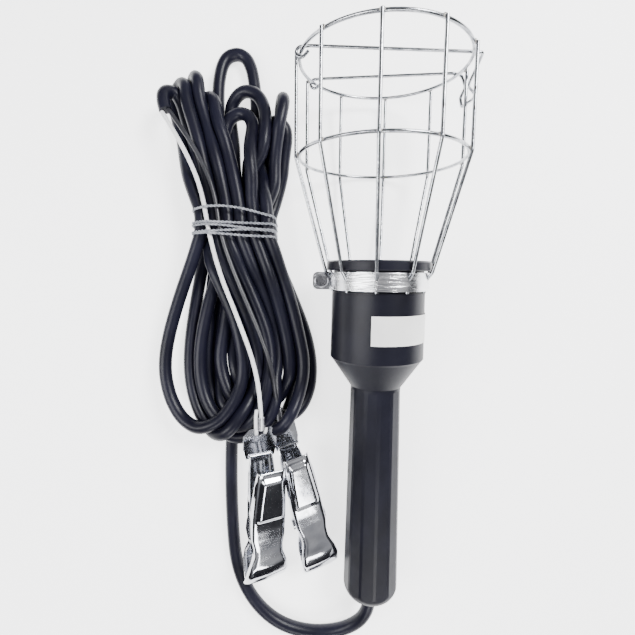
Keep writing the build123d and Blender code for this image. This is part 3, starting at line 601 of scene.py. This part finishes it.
def clip_matrix(place):
    x, y, z, heading, pitch, roll = place
    turned = Matrix.Rotation(math.radians(heading - 90), 4, "Z")
    turned = turned @ Matrix.Rotation(math.radians(pitch), 4, "Y")
    turned = turned @ Matrix.Rotation(math.radians(-roll), 4, "X")
    return Matrix.Translation((x, y, z)) @ turned


def station(xs, column):
    """One measure of the clip half at each x, with its corners rounded off."""
    dense = np.arange(-60, 42, 0.1)
    values = np.interp(dense, CLIP_STATIONS[:, 0], CLIP_STATIONS[:, column])
    reach = 22
    kernel = np.hanning(2 * reach + 3)[1:-1]
    values = np.convolve(np.pad(values, reach, "edge"), kernel / kernel.sum(), "valid")
    return np.interp(xs, dense, values)


def ease(value):
    value = np.clip(value, 0, 1)
    return value * value * (3 - 2 * value)


def shell_points(spread, inset, flip):
    """The outer face of a clip half as rows of points along X, each row across the sheet."""
    xs = np.concatenate([np.linspace(-48, 27, 76), np.linspace(27.5, 35.9, 26)])
    top, half, side = station(xs, 1), station(xs, 2) * spread - inset, station(xs, 3)
    slope = np.gradient(top, xs)
    size = np.hypot(1, slope)
    rows = []
    for x, z, w, depth, g, n in zip(xs, top, half, side, slope, size):
        r = min(SHOULDER_R, 0.8 * depth)
        flat, arc = w - r, math.pi * r / 2
        length = flat + arc + depth - r
        points = []
        for s in np.linspace(-length, length, 61):
            a, hand = abs(s), math.copysign(1, s)
            if a < flat:
                y, drop = a, 0.0
            elif a < flat + arc:
                turn = (a - flat) / r
                y, drop = flat + r * math.sin(turn), r * (1 - math.cos(turn))
            else:
                y, drop = w, a - flat - arc + r
            lift = DOME_H * ease((x - DOME_FROM) / 3.5) * ease((DOME_TO - x) / 4.0)
            lift *= ease((w - 1.4 - y) / 3.0)
            crown = 0.9 * ease((x - 12) / 10) * (1 - (y / w) ** 2)
            along_wall = ease((x + 43) / 5) * ease((-18 - x) / 6)
            y += 0.7 * along_wall * math.exp(-(((drop - 0.62 * depth) / 1.0) ** 2)) * (a > flat)
            tooth = abs((s / TOOTH_PITCH) % 1 - 0.5) * 2 * TOOTH_L * ease((x - 34.6) / 1.3)
            up = lift + crown - drop
            points.append(
                (x - up * g / n - tooth / n, hand * y, (z + up / n - tooth * g / n) * flip)
            )
        rows.append(points)
    return rows


def clip_shell(name, number, inset, flip, body):
    place = clip_matrix(CLIP_PLACES[number])
    rows = shell_points(CLIP_SPREAD[number], inset, flip)
    across = len(rows[0])
    spots = row([place @ Vector(p) for points in rows for p in points])
    faces = []
    for i in range(len(rows) - 1):
        for k in range(across - 1):
            a = i * across + k
            quad = (a, a + across, a + across + 1, a + 1)
            faces.append(quad if flip > 0 else quad[::-1])
    mesh = bpy.data.meshes.new(name)
    mesh.from_pydata([tuple(p) for p in spots], [], faces)
    mesh.shade_smooth()
    made = keep(name, mesh, CHROME, body)
    sheet = made.modifiers.new("sheet", "SOLIDIFY")
    sheet.thickness = CLIP_SHEET * MM
    sheet.offset = -1
    sheet.use_even_offset = False
    return made


def clip_tab(number, half_w, notch):
    """The flat tab behind the lower half, notched for the wires."""
    place = clip_matrix(CLIP_PLACES[number])
    back, front, corner = -66.0, -45.5, 4.0
    edge = [
        (front, -half_w + 1.5), (-50.0, -half_w + 0.6), (-52.0, -half_w), (back + corner, -half_w),
        (back, -half_w + corner), (back, -notch), (back + 4.4, -notch + 0.5), (back + 5.0, 0),
        (back + 4.4, notch - 0.5), (back, notch), (back, half_w - corner), (back + corner, half_w),
        (-52.0, half_w), (-50.0, half_w - 0.6), (front, half_w - 1.5),
    ]
    spots = row([place @ Vector((x, y, TAB_Z + 1.0)) for x, y in edge])
    mesh = bpy.data.meshes.new(f"clip_{number}_tab")
    mesh.from_pydata([tuple(p) for p in spots], [], [tuple(range(len(edge)))[::-1]])
    made = keep(f"clip_{number}_tab", mesh, CHROME)
    plate = made.modifiers.new("plate", "SOLIDIFY")
    plate.thickness = 1.0 * MM
    plate.offset = -1
    soft = made.modifiers.new("soft", "BEVEL")
    soft.width = 0.25 * MM
    soft.segments = 3
    soft.limit_method = "ANGLE"
    return made


def clip_lines(number, lines, radius, finish, name):
    place = clip_matrix(CLIP_PLACES[number])
    drawn = [row([place @ Vector(p) for p in evenly(line, 0.6)]) for line in lines]
    return keep(name, tubes(name, drawn, radius * MM, 16), finish)


CLIP_PIECES = {1: [], 2: []}
for number in (1, 2):
    upper = clip_shell(f"clip_{number}_upper_shell", number, 0.0, 1, f"clip_{number}_upper")
    lower = clip_shell(f"clip_{number}_lower_shell", number, LOWER_INSET, -1, "lamp")
    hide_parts(f"clip_{number}_upper")
    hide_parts(f"clip_{number}_lower")
    tab = clip_tab(number, 11.4 if number == 1 else 9.0, 2.6)
    ledge = clip_lines(
        number, [[(-47.4, y, TAB_Z + 1.5) for y in (-8.2, -3.0, 3.0, 8.2)]], 0.75,
        CHROME,
        f"clip_{number}_ledge",
    )
    lobes = [[(x, y, TAB_Z + 2.3) for x in (-74.2, -71.0, -68.0, -65.4)] for y in (-1.35, 1.35)]
    lobes.append([(x, 0, TAB_Z + 1.6) for x in (-74.2, -71.0, -68.0, -65.4)])
    crimp = clip_lines(number, lobes, 1.35, FASTENER, f"clip_{number}_crimp")
    CLIP_PIECES[number] = [tab, ledge, crimp]

# The white core's bared strands are folded back beside the crimp.
# Its end shows in the tab's notch.
white_ends = clip_lines(
    1,
    [
        [
            (-66.6, -3.5, TAB_Z + 2.4), (-71.0, -3.8, TAB_Z + 2.7), (-76.0, -3.9, TAB_Z + 3.2),
            (-80.0, -3.6, TAB_Z + 3.8),
        ],
        [(-66.2, -3.2, TAB_Z + 2.2), (-64.0, -3.0, TAB_Z + 2.1), (-62.4, -2.8, TAB_Z + 1.6)],
        [(-66.2, 3.2, TAB_Z + 2.2), (-64.0, 3.2, TAB_Z + 2.1), (-62.4, 3.0, TAB_Z + 1.6)],
    ],
    1.15, CORE_WHITE, "white_core_ends",
)
CLIP_PIECES[1].append(white_ends)

# ---- each cord's start in the row frame and its clip's pieces, worked out and left unused ----
exit_row = row([LEAD_POINTS[0]])[0]
tuple(row([WHITE_POINTS[0]])[0])
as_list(CLIP_PIECES[1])
tuple(row([BLACK_POINTS[0]])[0])
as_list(CLIP_PIECES[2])

# ---- screw shell with its rolled thread ----
THREAD_PITCH = 0.003629
THREAD_MID_R = 0.01377
THREAD_DEPTH = 0.00036
SHELL_SHEET = 0.00035
SHELL_L = 0.0236
THREAD_STEPS = 96
THREAD_ROWS = 84


def shell_mesh():
    vertices, faces = [], []
    rows_of = THREAD_ROWS + 4
    for side in (0, 1):
        for i in range(rows_of):
            down = min(i, THREAD_ROWS - 1) / (THREAD_ROWS - 1) * SHELL_L
            fade = min(1.0, down / 0.003, (SHELL_L - down) / 0.002 + 0.001)
            for k in range(THREAD_STEPS):
                turn = 2 * math.pi * k / THREAD_STEPS
                wave = math.cos(2 * math.pi * down / THREAD_PITCH - turn)
                radius = THREAD_MID_R + THREAD_DEPTH * wave * max(fade, 0)
                radius -= side * SHELL_SHEET * 0.5
                inward = max(0, i - THREAD_ROWS + 1) / 4
                radius = radius * (1 - inward) + 0.0058 * inward
                lift = side * SHELL_SHEET if inward else 0
                spot = at_lamp(turn, radius, -MOUTH_BELOW_RING - 0.0002 - down + lift)
                vertices.append(spot)
    block = rows_of * THREAD_STEPS
    for side in (0, 1):
        for i in range(rows_of - 1):
            for k in range(THREAD_STEPS):
                n = (k + 1) % THREAD_STEPS
                a = side * block + i * THREAD_STEPS
                quad = (a + k, a + n, a + THREAD_STEPS + n, a + THREAD_STEPS + k)
                faces.append(quad if side else quad[::-1])
    for i in (0, rows_of - 1):
        for k in range(THREAD_STEPS):
            n = (k + 1) % THREAD_STEPS
            a = i * THREAD_STEPS
            quad = (a + k, a + n, block + a + n, block + a + k)
            faces.append(quad if i == 0 else quad[::-1])
    mesh = bpy.data.meshes.new("socket_thread")
    mesh.from_pydata(vertices, [], faces)
    mesh.shade_smooth()
    return mesh


thread = keep("socket_thread", shell_mesh(), BRASS)
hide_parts("screw_shell")

# ---- welds where the guard wires cross the two rings ----
RING_OUT_R = 0.04954
TOP_RING_Y = 0.053


def wire_angles():
    """The angles of the guard wires round the axis, read from the CAD wires at the middle ring."""
    found = []
    for vertex in NODES["guard_wires"].data.vertices:
        away = vertex.co - RING_CENTRE
        if abs(away.dot(AXIS)) < 0.004:
            found.append(math.atan2(away.dot(UP), away.dot(SIDE)))
    found.sort()
    groups = [[found[0]]]
    for angle in found[1:]:
        if angle - groups[-1][-1] > 0.15:
            groups.append([])
        groups[-1].append(angle)
    return [sum(g) / len(g) for g in groups]


def weld_mesh():
    vertices, faces = [], []
    rings, sides = 7, 12
    for along in (0.0, TOP_RING_Y):
        for index, angle in enumerate(wire_angles()):
            start = len(vertices)
            centre = at_lamp(angle, RING_OUT_R, along)
            spoke = (centre - RING_CENTRE - AXIS * along).normalized()
            tangent = AXIS.cross(spoke)
            swell = 1 + 0.12 * math.sin(7 * index + 90 * along)
            for i in range(rings + 1):
                tilt = math.pi * i / rings
                for k in range(sides):
                    turn = 2 * math.pi * k / sides
                    vertices.append(
                        centre
                        + spoke * math.cos(tilt) * 0.0006
                        + tangent * math.sin(tilt) * math.cos(turn) * 0.00165 * swell
                        + AXIS * math.sin(tilt) * math.sin(turn) * 0.00135
                    )
            for i in range(rings):
                for k in range(sides):
                    n = (k + 1) % sides
                    a = start + i * sides
                    faces.append((a + k, a + sides + k, a + sides + n, a + n))
    mesh = bpy.data.meshes.new("welds")
    mesh.from_pydata(vertices, [], faces)
    mesh.shade_smooth()
    return mesh


keep("welds", weld_mesh(), WELD)

# ---- floor ----
floor_mesh = bpy.data.meshes.new("floor")
floor_mesh.from_pydata([(-4, -4, 0), (4, -4, 0), (4, 4, 0), (-4, 4, 0)], [], [(0, 1, 2, 3)])
floor_mesh.materials.append(FLOOR)
floor = bpy.data.objects.new("floor", floor_mesh)
floor.location = (0, 0, -0.0002)
bpy.context.scene.collection.objects.link(floor)


# ---- light ----
def soft_box(name, place, aim, size, power):
    data = bpy.data.lights.new(name, "AREA")
    data.shape = "RECTANGLE"
    data.size, data.size_y = size
    data.energy = power
    made = bpy.data.objects.new(name, data)
    made.location = place
    made.rotation_mode = "QUATERNION"
    made.rotation_quaternion = (Vector(aim) - Vector(place)).to_track_quat("-Z", "Y")
    bpy.context.scene.collection.objects.link(made)


MIDDLE = (-0.035, 0.0, 0.02)
soft_box("key", (0.55, 0.5, 0.85), MIDDLE, (0.4, 0.4), 24)
soft_box("fill", (-0.7, -0.1, 0.7), MIDDLE, (0.3, 0.8), 10)
soft_box("front", (0.1, -0.8, 0.6), MIDDLE, (0.7, 0.25), 7)

world = bpy.data.worlds.new("studio")
world.use_nodes = True
bpy.context.scene.world = world
sky = world.node_tree
place = sky.nodes.new("ShaderNodeTexCoord")
split = sky.nodes.new("ShaderNodeSeparateXYZ")
sky.links.new(place.outputs["Generated"], split.inputs[0])
levels = ramp(
    sky.nodes,
    [
        (0.0, (0.3, 0.3, 0.31)), (0.03, (0.03, 0.03, 0.04)), (0.4, (0.06, 0.06, 0.07)),
        (0.6, (0.85, 0.85, 0.87)), (0.8, (0.9, 0.9, 0.92)),
        (0.93, (0.34, 0.34, 0.36)), (1.0, (0.24, 0.24, 0.26)),
    ],
)
sky.links.new(split.outputs["Z"], levels.inputs[0])
sky.links.new(levels.outputs[0], sky.nodes["Background"].inputs["Color"])
sky.nodes["Background"].inputs["Strength"].default_value = 0.62
